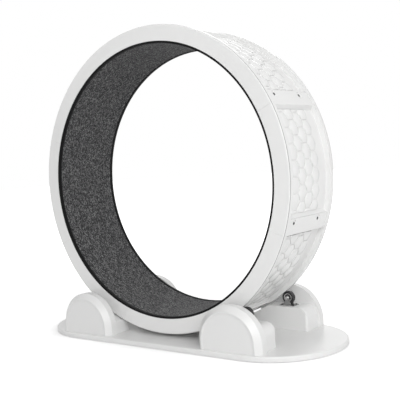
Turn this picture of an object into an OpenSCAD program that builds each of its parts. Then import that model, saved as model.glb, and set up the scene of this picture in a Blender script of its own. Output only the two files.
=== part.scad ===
// Free-standing running wheel for a house cat.
// A ring of eight hollow moulded segments, lined with a carpet track, turns on
// four small rollers. Each roller stands on a guard housing on an oval base.
// Millimetres, +Z up, origin on the floor under the middle of the base.
// The wheel turns about Y. The front of the object faces -Y.

/* [Wheel] */
// Outer diameter of the wheel over its two flanges
wheel_d = 1000; // [920:10:1080]
// Width of the wheel from face to face
wheel_w = 282; // [276:2:296]
// Width of the flat ring face, measured along the radius
ring_face = 51; // [46:1:58]
// Width of each flange, measured along the axle line
flange_w = 20; // [18:1:24]
// Depth of the honeycomb recess below the flanges
recess_d = 17; // [14:1:20]
// Radius of the rounded outer corner of each flange
flange_round = 4; // [2:0.5:5]
// Wall of the hollow ring segments
rim_wall = 3; // [2:0.5:4]
// Turn of the first joint above the +X direction, in degrees
joint_turn = 27.5; // [0:0.5:44]
// Gap between the wheel and the top of the base
wheel_gap = 12; // [10:1:20]

/* [Segment joints] */
// Length of a joint strip, measured round the wheel
strip_len = 48; // [40:1:60]
// Depth of a joint strip below the flanges
strip_drop = 2.5; // [1.5:0.5:4]
// Thickness of the tongue that laps over the next segment
tongue_t = 5; // [4:0.5:6]
// Clearance round the tongue and between neighbouring segments
seam = 0.3; // [0.2:0.1:0.6]
// Length of the bevel from a joint strip down to the recess floor
bevel_len = 9; // [5:1:14]
// Distance of each joint screw from the middle of the wheel's width
joint_screw_at = 75; // [50:1:90]
// Distance of the joint screws from the middle of the strip towards its tip
joint_screw_up = 9; // [0:1:10]
// Shank radius of a joint screw
joint_screw_r = 2.5; // [2:0.25:3]
// Length of a joint screw under its head
joint_screw_len = 26; // [16:1:32]
// Radius of the slanting seat round a joint screw
scoop_r = 12; // [8:1:14]
// Depth of that seat at its crescent-shaped wall
scoop_depth = 3; // [1.5:0.5:3.5]

/* [Honeycomb] */
// Distance between neighbouring pads, flat to flat
pad_pitch = 48.5; // [40:0.5:60]
// Groove between two pads
pad_groove = 4; // [3:0.5:8]
// Height of a pad's corners above the recess floor
pad_rise = 0.8; // [0.5:0.1:3]
// Radius of the pillow-shaped top of a pad
pad_dome = 80; // [70:5:200]
// Pads across the width of the wheel
pad_columns = 4; // [3:1:4]
// Shift of the pads and joint screws from mid-width towards the front
pad_shift = 14; // [0:1:18]

/* [Track] */
// Thickness of the carpet
carpet_t = 5; // [3:0.5:8]
// Width of each black edge binding
trim_w = 7; // [5:1:10]
// Thickness of the binding's lip over the carpet
trim_lip_t = 1.2; // [0.8:0.2:2]
// How far the lip laps over the carpet
trim_lip = 2.5; // [1.5:0.5:4]

/* [Rollers] */
// Outer diameter of a roller tyre
tyre_d = 42; // [38:1:48]
// Width of a roller tyre
tyre_w = 15; // [12:1:16]
// Rounding of the tyre's shoulders
tyre_round = 3; // [1:0.5:4]
// Radius of the hub that the tyre is moulded on
hub_r = 14; // [13:0.5:16]
// Outer radius of the recessed seal round the bearing
seal_r = 11; // [9:0.5:12]
// Radius of the roller's axle bolt
axle_r = 3; // [2.5:0.5:4]
// Running clearance between the axle bolt and the bearing
axle_clear = 0.05; // [0.03:0.01:0.08]
// Running gap between a tyre and the flange above it
roller_gap = 0.3; // [0.2:0.1:0.4]
// Distance of each roller from the middle of the object, along X
roller_x = 322; // [321:1:330]
// Thickness of the sheet steel of a fork
fork_t = 2.5; // [2:0.5:3]
// Width of a fork's cheeks at the foot plate
fork_w = 24; // [18:1:28]
// Radius of a cheek's narrow top round the axle
fork_top_r = 7; // [6:0.5:9]
// Gap between a fork's cheek and the tyre
fork_gap = 1.5; // [1:0.25:2]
// Length of a fork's foot plate
foot_plate_l = 56; // [50:1:60]
// Width of a fork's foot plate
foot_plate_w = 32; // [30:1:36]

/* [Guard housings] */
// Distance of each housing from the middle of the object, along X
guard_x = 297; // [292:1:302]
// Width of the D-shaped guard
guard_w = 226; // [206:2:232]
// Height of the D-shaped guard above the base
guard_h = 139; // [134:1:150]
// Thickness of the D-shaped guard
guard_t = 41; // [36:1:42]
// Gap between the guard and the face of the wheel
guard_gap = 30; // [24:1:31]
// Width of the guard's bevelled outer border
guard_bevel = 17; // [10:1:20]
// Depth of the shallow panel in the guard's face
panel_sink = 1.2; // [0.8:0.2:1.6]
// Border between the guard's outline and its shallow panel
panel_border = 22; // [21:1:30]
// Length of the platform that carries the roller
platform_l = 214; // [206:2:218]
// Shift of the platform from the middle of the guard towards the end of the base
platform_shift = -3; // [-5:1:1]
// Depth of the platform under the wheel
platform_t = 72; // [66:1:76]
// Height of the platform above the base
platform_h = 76; // [72:1:77]
// Clearance between the platform's hollowed top and the wheel above it
platform_clear = 6; // [5:1:10]
// Radius of the platform's rounded outer end
platform_end_r = 34; // [20:1:36]
// Radius of the platform's two upright edges under the wheel
platform_edge_r = 9; // [5:1:12]
// Wall of the guard housings
guard_wall = 3; // [2:0.5:4]

/* [Base] */
// Length of the oval base
base_l = 1130; // [1120:5:1200]
// Width of the oval base, which is also the diameter of its round ends
base_w = 440; // [436:2:460]
// Thickness of the base plate
base_t = 16; // [14:0.5:18]
// Radius of the base plate's rounded top edge
base_round = 5; // [3:0.5:7]
// Thickness of the base plate's top skin
base_skin = 3.5; // [3:0.25:4.5]
// Thickness of the base plate's edge wall
base_wall = 4; // [3:0.5:6]
// Thickness of the ribs under the base plate
rib_t = 2.5; // [2:0.5:4]
// Distance between the ribs under the base plate
rib_pitch = 70; // [60:2:90]
// Diameter of a rubber foot
foot_d = 24; // [20:1:30]
// Height of a rubber foot below the base plate
foot_out = 2; // [1:0.5:3]
// Depth of a rubber foot's seat in the base plate
foot_in = 2; // [1:0.5:3]
// Distance between the four screws under a guard, along X
guard_screw_l = 150; // [130:2:160]
// Distance between the four screws under a guard, along Y
guard_screw_w = 56; // [50:1:58]

/* [Hidden] */
$fn = 96;

// Derived sizes of the wheel
segments = 8;
step_deg = 360 / segments;
wheel_r = wheel_d / 2;
track_r = wheel_r - ring_face;
floor_r = wheel_r - recess_d;
half_w = wheel_w / 2;
bay_w = half_w - flange_w;
strip_r = wheel_r - strip_drop;
land_r = strip_r - tongue_t - seam;
half_strip = arc_deg(strip_len / 2, wheel_r);
seam_deg = arc_deg(seam / 2, wheel_r);
bevel_deg = arc_deg(bevel_len, floor_r);
wall_deg = arc_deg(rim_wall, track_r);
lap_deg = arc_deg(1, wheel_r);
screw_deg = arc_deg(joint_screw_up, wheel_r);
body_start = seam_deg - half_strip;
body_end = step_deg - half_strip - seam_deg;
joint_boss_r = joint_screw_r + 5;
joint_head_r = joint_screw_r * 1.9;
joint_head_h = joint_screw_r * 1.1;
joint_seat_r = strip_r - joint_head_h - 0.4;
joint_screw_z = [pad_shift - joint_screw_at, pad_shift + joint_screw_at];

// Derived sizes of the honeycomb
pad_flat = pad_pitch - pad_groove;
pad_corner_r = pad_flat / sqrt(3);
column_pitch = pad_pitch * sqrt(3) / 2;
pad_top_r = floor_r + pad_rise + pad_dome - sqrt(pad_dome * pad_dome - pad_corner_r * pad_corner_r);
panel_start = half_strip + bevel_deg + arc_deg(3, floor_r);
panel_end = body_end - bevel_deg - arc_deg(3, floor_r);
pad_step = arc_deg(pad_pitch, floor_r);
pad_rows = ceil((panel_end - panel_start) / pad_step) + 1;

// Heights from the floor
base_z = foot_out;
deck_z = base_z + base_t;
wheel_z = deck_z + wheel_gap + wheel_r;

// Derived places of the rollers
tyre_r = tyre_d / 2;
roller_reach = wheel_r + roller_gap + tyre_r;
axle_z = wheel_z - sqrt(roller_reach * roller_reach - roller_x * roller_x);
roller_y = half_w - flange_round - tyre_w / 2 - 0.5;
cheek_in = tyre_w / 2 + fork_gap;
cheek_out = cheek_in + fork_t;
plate_z = deck_z + platform_h;
fork_screw_r = 2;
fork_screw_x = foot_plate_l / 2 - 7;
fork_screw_y = foot_plate_w / 2 - 6;
fork_screw_len = 14;

// Derived places of the guards
guard_in = half_w + guard_gap;
guard_out = guard_in + guard_t;
platform_in = guard_in - platform_t;
guard_leg = guard_h - guard_w / 2;
guard_screw_y = (platform_in + guard_out) / 2;
guard_screw_r = 2;
guard_screw_len = 22;
guard_boss_r = 6;

// Places of the rubber feet, one list for the seats and the feet
foot_x = base_l / 2 - base_w / 2;
foot_y = base_w / 2 - 26;
foot_end = base_l / 2 - 26;
foot_spots = [
  [-foot_end, 0], [foot_end, 0],
  [-foot_x, -foot_y], [-foot_x, foot_y], [foot_x, -foot_y], [foot_x, foot_y],
  [0, -foot_y], [0, foot_y]
];

function arc_deg(len, r) = len / r * 180 / PI;
function polar(r, a) = [r * cos(a), r * sin(a)];
// Point at radius r on the straight line from a to b, counted along its length
function along(a, b, t) = a + (b - a) * t;

// Puts a shape drawn round Z onto the wheel's axle line, with +Z to the front
module on_wheel() {
  translate([0, 0, wheel_z]) rotate([90, 0, 0]) children();
}

// Flat ring sector between two radii and two angles, centred on z = 0
module ring_sector(r0, r1, half, a0, a1) {
  rotate([0, 0, a0]) rotate_extrude(angle = a1 - a0)
    translate([r0, -half]) square([r1 - r0, 2 * half]);
}

// Cross-section of the ring: two rounded flanges and the recess between them
module rim_outline() {
  difference() {
    translate([track_r, -half_w]) square([ring_face, wheel_w]);
    translate([floor_r, -bay_w]) square([recess_d + 1, 2 * bay_w]);
    for (s = [-1, 1]) rim_corner(s);
  }
}

module rim_corner(s) {
  difference() {
    translate([wheel_r - flange_round, s > 0 ? half_w - flange_round : -half_w - 1])
      square([flange_round + 1, flange_round + 1]);
    translate([wheel_r - flange_round, s * (half_w - flange_round)]) circle(r = flange_round);
  }
}

// Hollow inside the ring, with clipped corners behind the rounded flanges
module rim_hollow() {
  in_r = track_r + rim_wall;
  top_r = wheel_r - rim_wall;
  deep_r = floor_r - rim_wall;
  out_z = half_w - rim_wall;
  bay_z = bay_w + rim_wall;
  clip = flange_round;
  polygon([
    [in_r, -out_z], [top_r - clip, -out_z], [top_r, -out_z + clip], [top_r, -bay_z],
    [deep_r, -bay_z], [deep_r, bay_z], [top_r, bay_z], [top_r, out_z - clip],
    [top_r - clip, out_z], [in_r, out_z]
  ]);
}

// Block across the recess between two angles, with one bevelled end.
// up is +1 where the bevel runs towards larger angles
module strip_block(top_r, flat_a, edge_a, up) {
  a = polar(top_r, edge_a);
  b = polar(floor_r, edge_a + up * bevel_deg);
  far_in = track_r + rim_wall;
  intersection() {
    rotate_extrude() translate([floor_r - rim_wall, -bay_w - 1])
      square([top_r - floor_r + rim_wall, 2 * bay_w + 2]);
    translate([0, 0, -bay_w - 1]) linear_extrude(2 * bay_w + 2)
      polygon([
        polar(far_in, flat_a), polar(wheel_r + 20, flat_a),
        along(b, a, 3), along(b, a, -2)
      ]);
  }
}

// One pillow-shaped honeycomb pad, pointing outwards along X
module pad() {
  intersection() {
    translate([floor_r - 1, 0, 0]) rotate([0, 90, 0]) rotate([0, 0, 0])
      cylinder(h = 20, r = pad_corner_r, $fn = 6);
    translate([pad_top_r - pad_dome, 0, 0]) sphere(r = pad_dome);
  }
}

// All pads of one segment, cut off square at the ends of the panel
module pad_field() {
  mid = (panel_start + panel_end) / 2;
  intersection() {
    ring_sector(floor_r - 1, wheel_r, bay_w, panel_start, panel_end);
    union() {
      for (c = [0 : pad_columns - 1]) {
        odd = c % 2;
        rows = pad_rows - 1 + odd;
        for (k = [0 : rows - 1])
          rotate([0, 0, mid + (k - (rows - 1) / 2) * pad_step])
            translate([0, 0, pad_shift + (c - (pad_columns - 1) / 2) * column_pitch])
              pad();
      }
    }
  }
}

// Boss that a joint screw bites into, and the screw's hole
module joint_boss(z) {
  translate([0, 0, z]) rotate([0, 90, 0]) translate([0, 0, track_r + rim_wall / 2])
    cylinder(h = land_r - 1 - track_r - rim_wall / 2, r = joint_boss_r);
}

module joint_hole(z, r, from_r, to_r) {
  translate([from_r, 0, z]) rotate([0, 90, 0]) cylinder(h = to_r - from_r, r = r);
}

// Seat round a joint screw's head: a slanting spot face with one crescent-shaped wall
module joint_scoop(z) {
  slant = asin(scoop_depth / (2 * scoop_r));
  translate([strip_r, 0, z]) rotate([-45, 0, 0]) rotate([0, 0, slant])
    translate([-scoop_depth / 2, 0, 0]) rotate([0, 90, 0]) cylinder(h = 20, r = scoop_r);
  joint_hole(z, joint_head_r + 0.5, joint_seat_r, wheel_r);
}

// Shell of a segment between its two end faces, with its hollow open to nothing
module segment_shell() {
  difference() {
    union() {
      rotate([0, 0, body_start]) rotate_extrude(angle = body_end - body_start) rim_outline();
      strip_block(land_r, body_start, half_strip + seam_deg, 1);
      end_strip();
      pad_field();
    }
    rotate([0, 0, body_start + wall_deg])
      rotate_extrude(angle = body_end - body_start - 2 * wall_deg) rim_hollow();
    ring_sector(floor_r - rim_wall - 1, land_r - rim_wall, bay_w - rim_wall,
      body_start + 1.2 * wall_deg, half_strip - wall_deg);
  }
}

// Bevelled strip at the segment's end, whose tongue laps over the next landing
module end_strip() {
  tip = step_deg + half_strip - seam_deg;
  difference() {
    strip_block(strip_r, tip, body_end - 2 * lap_deg, -1);
    ring_sector(track_r, strip_r - tongue_t, bay_w + 4, body_end, tip + 1);
    for (s = [-1, 1])
      translate([0, 0, s * (bay_w - seam + 5)]) ring_sector(track_r, wheel_r, 5, body_end, tip + 1);
    rotate([0, 0, step_deg + screw_deg])
      for (z = joint_screw_z) {
        joint_hole(z, joint_screw_r + 0.3, land_r - 2, wheel_r);
        joint_scoop(z);
      }
  }
}

// One ring segment. Its start joint lies at angle 0 and its end joint at step_deg
module segment_solid() {
  difference() {
    union() {
      segment_shell();
      rotate([0, 0, screw_deg]) for (z = joint_screw_z) joint_boss(z);
    }
    rotate([0, 0, screw_deg]) for (z = joint_screw_z)
      joint_hole(z, joint_screw_r + 0.1, joint_seat_r - joint_screw_len - 2, wheel_r);
  }
}

module rim_segment(i) {
  color("white") on_wheel() rotate([0, 0, joint_turn + (i - 1) * step_deg]) segment_solid();
}

// Screws that clamp each tongue onto the next segment
module joint_screw() {
  translate([joint_seat_r - joint_screw_len, 0, 0]) rotate([0, 90, 0])
    cylinder(h = joint_screw_len + 0.01, r = joint_screw_r);
  translate([joint_seat_r, 0, 0]) rotate([0, 90, 0]) difference() {
    cylinder(h = joint_head_h, r = joint_head_r);
    translate([0, 0, joint_head_h - 1.4]) cylinder(h = 2, r = joint_screw_r * 0.8, $fn = 6);
  }
}

module joint_screws() {
  color("dimgray") on_wheel()
    for (i = [0 : segments - 1], z = joint_screw_z)
      rotate([0, 0, joint_turn + i * step_deg + screw_deg]) translate([0, 0, z]) joint_screw();
}

// Carpet lining and its two edge bindings
module track_carpet() {
  color("dimgray") on_wheel() rotate_extrude()
    translate([track_r - carpet_t, -half_w + trim_w]) square([carpet_t, wheel_w - 2 * trim_w]);
}

module edge_trim(front) {
  s = front ? 1 : -1;
  in_r = track_r - carpet_t;
  color("black") on_wheel() rotate_extrude() polygon([
    [in_r - trim_lip_t, s * (half_w - trim_w - trim_lip)], [in_r, s * (half_w - trim_w - trim_lip)],
    [in_r, s * (half_w - trim_w)], [track_r, s * (half_w - trim_w)],
    [track_r, s * half_w], [in_r - trim_lip_t, s * half_w]
  ]);
}

// Copies a front right shape to one of the four corners of the object
module corner(sx, sy) {
  mirror([sx < 0 ? 1 : 0, 0, 0]) mirror([0, sy > 0 ? 1 : 0, 0]) children();
}

module each_corner() {
  for (sx = [-1, 1], sy = [-1, 1]) corner(sx, sy) children();
}

// Half of the guard's section: depth upwards, bevelled at the outer border
module guard_half(hw, t, f) {
  polygon([[0, 0], [hw, 0], [hw, t - f], [hw - f, t], [0, t]]);
}

// D-shaped body: a half disc on two upright legs, bevelled along its border
module guard_body(hw, leg, below, t, f) {
  translate([0, leg, 0]) rotate_extrude(angle = 180) guard_half(hw, t, f);
  translate([0, leg, 0]) rotate([90, 0, 0]) linear_extrude(leg + below) {
    guard_half(hw, t, f);
    mirror([1, 0]) guard_half(hw, t, f);
  }
}

// Outline of the platform: flat under the roller, rounded at its outer end and
// hollowed at its inner end, where it follows the underside of the wheel
module platform_outline(inset, below) {
  l = platform_l / 2 - inset;
  h = platform_h - inset;
  r = platform_end_r - inset;
  difference() {
    union() {
      translate([-l, -below]) square([2 * l - r, h + below]);
      translate([-l, -below]) square([2 * l, h - r + below]);
      translate([l - r, h - r]) circle(r = r);
    }
    translate([-guard_x - platform_shift, wheel_z - deck_z])
      circle(r = wheel_r + platform_clear + inset);
  }
}

// Block of the platform, with its two upright edges rounded
module platform_block(inset, below, deep) {
  l = platform_l / 2 - inset;
  r = platform_edge_r - inset;
  translate([platform_shift, 0, platform_in + inset]) intersection() {
    linear_extrude(deep) platform_outline(inset, below);
    translate([0, -below - 1, 0]) rotate([-90, 0, 0]) linear_extrude(platform_h + below + 2)
      mirror([0, 1]) {
        translate([-l, r]) square([2 * l, deep]);
        translate([r - l, 0]) square([2 * (l - r), deep]);
        for (s = [-1, 1]) translate([s * (l - r), r]) circle(r = r);
      }
  }
}

module guard_outer() {
  translate([0, 0, guard_in]) guard_body(guard_w / 2, guard_leg, 0, guard_t, guard_bevel);
  platform_block(0, 0, platform_t);
}

// Hollow of the housing: the guard, the platform and the way between them
module guard_inner() {
  w = guard_wall;
  way = guard_w / 2 - w;
  translate([0, 0, guard_in + w])
    guard_body(way, guard_leg, 1, guard_t - 2 * w - panel_sink, guard_bevel - w);
  platform_block(w, 1, platform_t - 2 * w);
  translate([0, 0, guard_in - w - 1]) linear_extrude(2 * w + 2) intersection() {
    translate([platform_shift, 0]) platform_outline(w, 1);
    guard_arch(way - 1, guard_leg);
  }
}

// D-shaped opening: a disc over two upright legs
module guard_arch(hw, leg) {
  translate([0, leg]) circle(r = hw);
  translate([-hw, -2]) square([2 * hw, leg + 2]);
}

module guard_boss(x, z, r, h) {
  translate([x, 0, z]) rotate([-90, 0, 0]) cylinder(h = h, r = r);
}

// Guard housing: guard and platform moulded in one, open below
module guard() {
  hole_r = guard_screw_r + 0.1;
  color("white") translate([guard_x, 0, deck_z]) rotate([90, 0, 0]) difference() {
    union() {
      difference() {
        guard_outer();
        guard_inner();
        translate([0, 0, guard_out - panel_sink])
          guard_body(guard_w / 2 - panel_border, guard_leg, 1, guard_t, 1);
      }
      intersection() {
        guard_outer();
        union() {
          for (sx = [-1, 1], sz = [-1, 1])
            guard_boss(sx * guard_screw_l / 2, guard_screw_y + sz * guard_screw_w / 2,
              guard_boss_r, guard_h);
          for (sx = [-1, 1], sz = [-1, 1])
            translate([0, platform_h - 18, 0])
              guard_boss(roller_x - guard_x + sx * fork_screw_x, roller_y + sz * fork_screw_y,
                fork_screw_r + 2.5, 18);
        }
      }
    }
    for (sx = [-1, 1], sz = [-1, 1])
      translate([0, -1, 0])
        guard_boss(sx * guard_screw_l / 2, guard_screw_y + sz * guard_screw_w / 2, hole_r, guard_screw_len);
    for (sx = [-1, 1], sz = [-1, 1])
      translate([0, platform_h - 16, 0])
        guard_boss(roller_x - guard_x + sx * fork_screw_x, roller_y + sz * fork_screw_y,
          fork_screw_r + 0.1, 30);
  }
}

// Oval plate, rounded along its top edge
module oval_half(r, t, f) {
  square([r, t - f]);
  square([r - f, t]);
  intersection() {
    translate([r - f, t - f]) circle(r = f);
    translate([r - f, t - f]) square([f, f]);
  }
}

module oval_plate(r, len, t, f) {
  mid = len / 2 - r;
  for (s = [-1, 1])
    translate([s * mid, 0, 0]) rotate([0, 0, s < 0 ? 90 : -90])
      rotate_extrude(angle = 180) oval_half(r, t, f);
  translate([-mid, 0, 0]) rotate([90, 0, 90]) linear_extrude(2 * mid) {
    oval_half(r, t, f);
    mirror([1, 0]) oval_half(r, t, f);
  }
}

module oval_prism(r, len, h) {
  mid = len / 2 - r;
  translate([-mid, -r, 0]) cube([2 * mid, 2 * r, h]);
  for (s = [-1, 1]) translate([s * mid, 0, 0]) cylinder(h = h, r = r);
}

module guard_screw_spots() {
  for (sx = [-1, 1], sy = [-1, 1], tx = [-1, 1], ty = [-1, 1])
    translate([sx * guard_x + tx * guard_screw_l / 2, sy * guard_screw_y + ty * guard_screw_w / 2, 0])
      children();
}

// Base plate: a thin skin on an edge wall, ribs, screw bosses and foot seats
module base_plate() {
  under = base_t - base_skin;
  nx = floor((base_l / 2 - 40) / rib_pitch);
  ny = floor((base_w / 2 - 20) / rib_pitch);
  color("white") translate([0, 0, base_z]) difference() {
    union() {
      difference() {
        oval_plate(base_w / 2, base_l, base_t, base_round);
        translate([0, 0, -1]) oval_prism(base_w / 2 - base_wall, base_l - 2 * base_wall, under + 1);
      }
      intersection() {
        oval_prism(base_w / 2 - base_wall / 2, base_l - base_wall, under + 1);
        union() {
          for (i = [-nx : nx])
            translate([i * rib_pitch - rib_t / 2, -base_w, 0]) cube([rib_t, 2 * base_w, under + 1]);
          for (j = [-ny : ny])
            translate([-base_l, j * rib_pitch - rib_t / 2, 0]) cube([2 * base_l, rib_t, under + 1]);
          guard_screw_spots() cylinder(h = under + 1, r = guard_boss_r + 2);
          for (p = foot_spots) translate([p[0], p[1], 0]) cylinder(h = under + 1, r = foot_d / 2 + 3);
        }
      }
    }
    guard_screw_spots() {
      translate([0, 0, -1]) cylinder(h = base_t + 2, r = guard_screw_r + 0.3);
      translate([0, 0, -1]) cylinder(h = 6, r = guard_screw_r * 2 + 0.5);
    }
    for (p = foot_spots) translate([p[0], p[1], -1]) cylinder(h = foot_in + 1, r = foot_d / 2 + 0.1);
  }
}

module foot_pads() {
  color("black") for (p = foot_spots) translate([p[0], p[1], 0]) difference() {
    cylinder(h = foot_in + foot_out, r = foot_d / 2);
    translate([0, 0, -1]) cylinder(h = 2, r = foot_d / 5);
  }
}

// Screws that hold the guard housings from under the base
module guard_screws() {
  color("dimgray") guard_screw_spots() translate([0, 0, base_z + 5]) {
    cylinder(h = base_t - 5 + guard_screw_len - 4, r = guard_screw_r);
    difference() {
      translate([0, 0, -2.4]) cylinder(h = 2.41, r = guard_screw_r * 2);
      translate([0, 0, -3]) cylinder(h = 2, r = guard_screw_r * 0.8, $fn = 6);
    }
  }
}

// Moves a shape drawn round the roller's axle to the front right roller
module at_roller() {
  translate([roller_x, -roller_y, axle_z]) rotate([90, 0, 0]) children();
}

// Bent sheet steel fork: a foot plate and two cheeks round the tyre
module fork() {
  cheek_h = axle_z - plate_z;
  color("silver") difference() {
    union() {
      translate([roller_x - foot_plate_l / 2, -roller_y - foot_plate_w / 2, plate_z])
        cube([foot_plate_l, foot_plate_w, fork_t]);
      for (s = [-1, 1])
        translate([roller_x, -roller_y + s * (cheek_in + fork_t / 2) + fork_t / 2, plate_z])
          rotate([90, 0, 0]) linear_extrude(fork_t) {
            polygon([
              [-fork_w / 2, 0], [fork_w / 2, 0],
              [fork_top_r - 0.4, cheek_h], [0.4 - fork_top_r, cheek_h]
            ]);
            translate([0, cheek_h]) circle(r = fork_top_r);
          }
    }
    at_roller() translate([0, 0, -30]) cylinder(h = 60, r = axle_r + 0.1);
    for (sx = [-1, 1], sy = [-1, 1])
      translate([roller_x + sx * fork_screw_x, -roller_y + sy * fork_screw_y, plate_z - 1])
        cylinder(h = fork_t + 2, r = fork_screw_r + 0.3);
  }
}

module fork_screws() {
  color("dimgray") each_corner() for (sx = [-1, 1], sy = [-1, 1])
    translate([roller_x + sx * fork_screw_x, -roller_y + sy * fork_screw_y, plate_z + fork_t]) {
      translate([0, 0, -fork_screw_len]) cylinder(h = fork_screw_len + 0.01, r = fork_screw_r);
      difference() {
        cylinder(h = 2.2, r = fork_screw_r * 1.9);
        translate([0, 0, 1]) cylinder(h = 2, r = fork_screw_r * 0.8, $fn = 6);
      }
    }
}

// Axle bolt with its head in front and its nut behind
module axle() {
  color("silver") at_roller() {
    translate([0, 0, -cheek_out - 7]) cylinder(h = 2 * cheek_out + 7, r = axle_r);
    translate([0, 0, cheek_out]) cylinder(h = 3.6, r = axle_r * 1.9, $fn = 6);
    translate([0, 0, -cheek_out - 5]) difference() {
      cylinder(h = 5, r = axle_r * 1.9, $fn = 6);
      translate([0, 0, -1]) cylinder(h = 7, r = axle_r);
    }
  }
}

// Rubber tyre with rounded shoulders on its hub
module tyre_section() {
  h = tyre_w / 2;
  square_r = tyre_r - tyre_round;
  translate([hub_r, -h]) square([square_r - hub_r, tyre_w]);
  translate([hub_r, -h + tyre_round]) square([tyre_r - hub_r, tyre_w - 2 * tyre_round]);
  for (s = [-1, 1]) translate([square_r, s * (h - tyre_round)]) circle(r = tyre_round);
}

module tyre() {
  color("black") at_roller() rotate_extrude() tyre_section();
}

// Steel hub and ball bearing: inner race, recessed seal and the hub's outer ring
module bearing() {
  h = tyre_w / 2 - 0.3;
  bore = axle_r + axle_clear;
  race = bore + 2.2;
  deep = h - 1.2;
  color("silver") at_roller() rotate_extrude() polygon([
    [bore, -h - 0.5], [race, -h - 0.5], [race, -deep], [seal_r, -deep],
    [seal_r, -h + 0.6], [seal_r + 0.6, -h], [hub_r, -h],
    [hub_r, h], [seal_r + 0.6, h], [seal_r, h - 0.6],
    [seal_r, deep], [race, deep], [race, h + 0.5], [bore, h + 0.5]
  ]);
}

rim_segment(1);  // rim_segment_1
rim_segment(2);  // rim_segment_2
rim_segment(3);  // rim_segment_3
rim_segment(4);  // rim_segment_4
rim_segment(5);  // rim_segment_5
rim_segment(6);  // rim_segment_6
rim_segment(7);  // rim_segment_7
rim_segment(8);  // rim_segment_8
track_carpet();
edge_trim(true);  // edge_trim_front
edge_trim(false);  // edge_trim_back
joint_screws();
base_plate();
foot_pads();
guard_screws();
corner(-1, -1) guard();  // guard_front_left
corner(1, -1) guard();  // guard_front_right
corner(-1, 1) guard();  // guard_back_left
corner(1, 1) guard();  // guard_back_right
corner(-1, -1) fork();  // fork_front_left
corner(1, -1) fork();  // fork_front_right
corner(-1, 1) fork();  // fork_back_left
corner(1, 1) fork();  // fork_back_right
fork_screws();
corner(-1, -1) axle();  // axle_front_left
corner(1, -1) axle();  // axle_front_right
corner(-1, 1) axle();  // axle_back_left
corner(1, 1) axle();  // axle_back_right
corner(-1, -1) tyre();  // tyre_front_left
corner(1, -1) tyre();  // tyre_front_right
corner(-1, 1) tyre();  // tyre_back_left
corner(1, 1) tyre();  // tyre_back_right
corner(-1, -1) bearing();  // bearing_front_left
corner(1, -1) bearing();  // bearing_front_right
corner(-1, 1) bearing();  // bearing_back_left
corner(1, 1) bearing();  // bearing_back_right
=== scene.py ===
# %% [markdown]
# # A running wheel for a house cat
# The real object is a wheel one metre across: eight hollow plastic segments screwed
# together into a ring, a strip of carpet glued inside it, and four small rollers that
# carry it over an oval base. All hard shapes come from CAD as a fixed frame. Blender
# adds what CAD is poor at: carpet pile, a rolled edge binding, small screw heads, and
# finishes that look moulded, plated or woven when the light moves over them.

# %% Load the fixed frame
import math

import bmesh
import bpy
import numpy as np
from mathutils import Matrix, Vector


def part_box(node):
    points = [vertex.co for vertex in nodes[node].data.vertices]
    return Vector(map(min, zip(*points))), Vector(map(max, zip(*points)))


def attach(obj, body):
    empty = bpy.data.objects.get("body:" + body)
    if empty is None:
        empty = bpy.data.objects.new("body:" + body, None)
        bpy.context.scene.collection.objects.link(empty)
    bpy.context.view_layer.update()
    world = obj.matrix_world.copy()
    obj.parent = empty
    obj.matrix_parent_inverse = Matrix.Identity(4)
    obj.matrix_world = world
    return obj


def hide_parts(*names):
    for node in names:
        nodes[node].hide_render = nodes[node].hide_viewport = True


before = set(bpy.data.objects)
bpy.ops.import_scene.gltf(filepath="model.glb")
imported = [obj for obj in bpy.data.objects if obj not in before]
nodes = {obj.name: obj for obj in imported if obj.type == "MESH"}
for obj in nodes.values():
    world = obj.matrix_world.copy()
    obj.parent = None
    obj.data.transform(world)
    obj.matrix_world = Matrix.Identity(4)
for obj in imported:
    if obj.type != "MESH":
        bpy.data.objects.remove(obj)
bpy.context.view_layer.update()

# %% [markdown]
# The wheel's own sizes are read from the frame, so that every added piece fits it.
# The carpet's box gives the radius of the track, and its middle is the axle line. The
# front binding's box gives half the wheel's width and the place where the lip ends.

# %% Measure the wheel
MM = 0.001
SEGMENTS = 8
CARPET_T = 5 * MM
LIP_T = 2 * MM
track_low, track_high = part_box("track_carpet")
wheel_z = (track_low.z + track_high.z) / 2
track_r = (track_high.z - track_low.z) / 2
carpet_half_w = (track_high.y - track_low.y) / 2
trim_low, trim_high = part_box("edge_trim_front")
wheel_half_w = -trim_low.y
lip_y = -trim_high.y
outer_r = max(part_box(f"rim_segment_{i + 1}")[1].x for i in range(SEGMENTS))
carpet_in_r = track_r - CARPET_T
print(f"ring radius {outer_r:.4f}, track radius {track_r:.4f}, axle height {wheel_z:.4f}")

# %% [markdown]
# The camera stands to the front right of the wheel, a little above its middle, and
# looks slightly down. It is held about four degrees out of level, as the upright
# lines of the object show. The lens is long enough to keep the ring from stretching.
# The EYE values place the camera, the LOOK values turn it, and the others are its lens.

# %% Camera
EYE_TURN = math.radians(37.734)
EYE_AWAY = 2.399
EYE_ABOVE_AXLE = 0.058
LOOK_TURN = math.radians(38.264)
LOOK_DOWN = math.radians(4.361)
LOOK_ROLL = math.radians(4.0)
FOCAL_PIXELS = 704.0
MIDDLE_PIXEL = (175.7, 216.8)
PHOTO_PIXELS = 400
SENSOR_WIDTH = 36
SEES_AS_FAR_AS = 60

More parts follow.
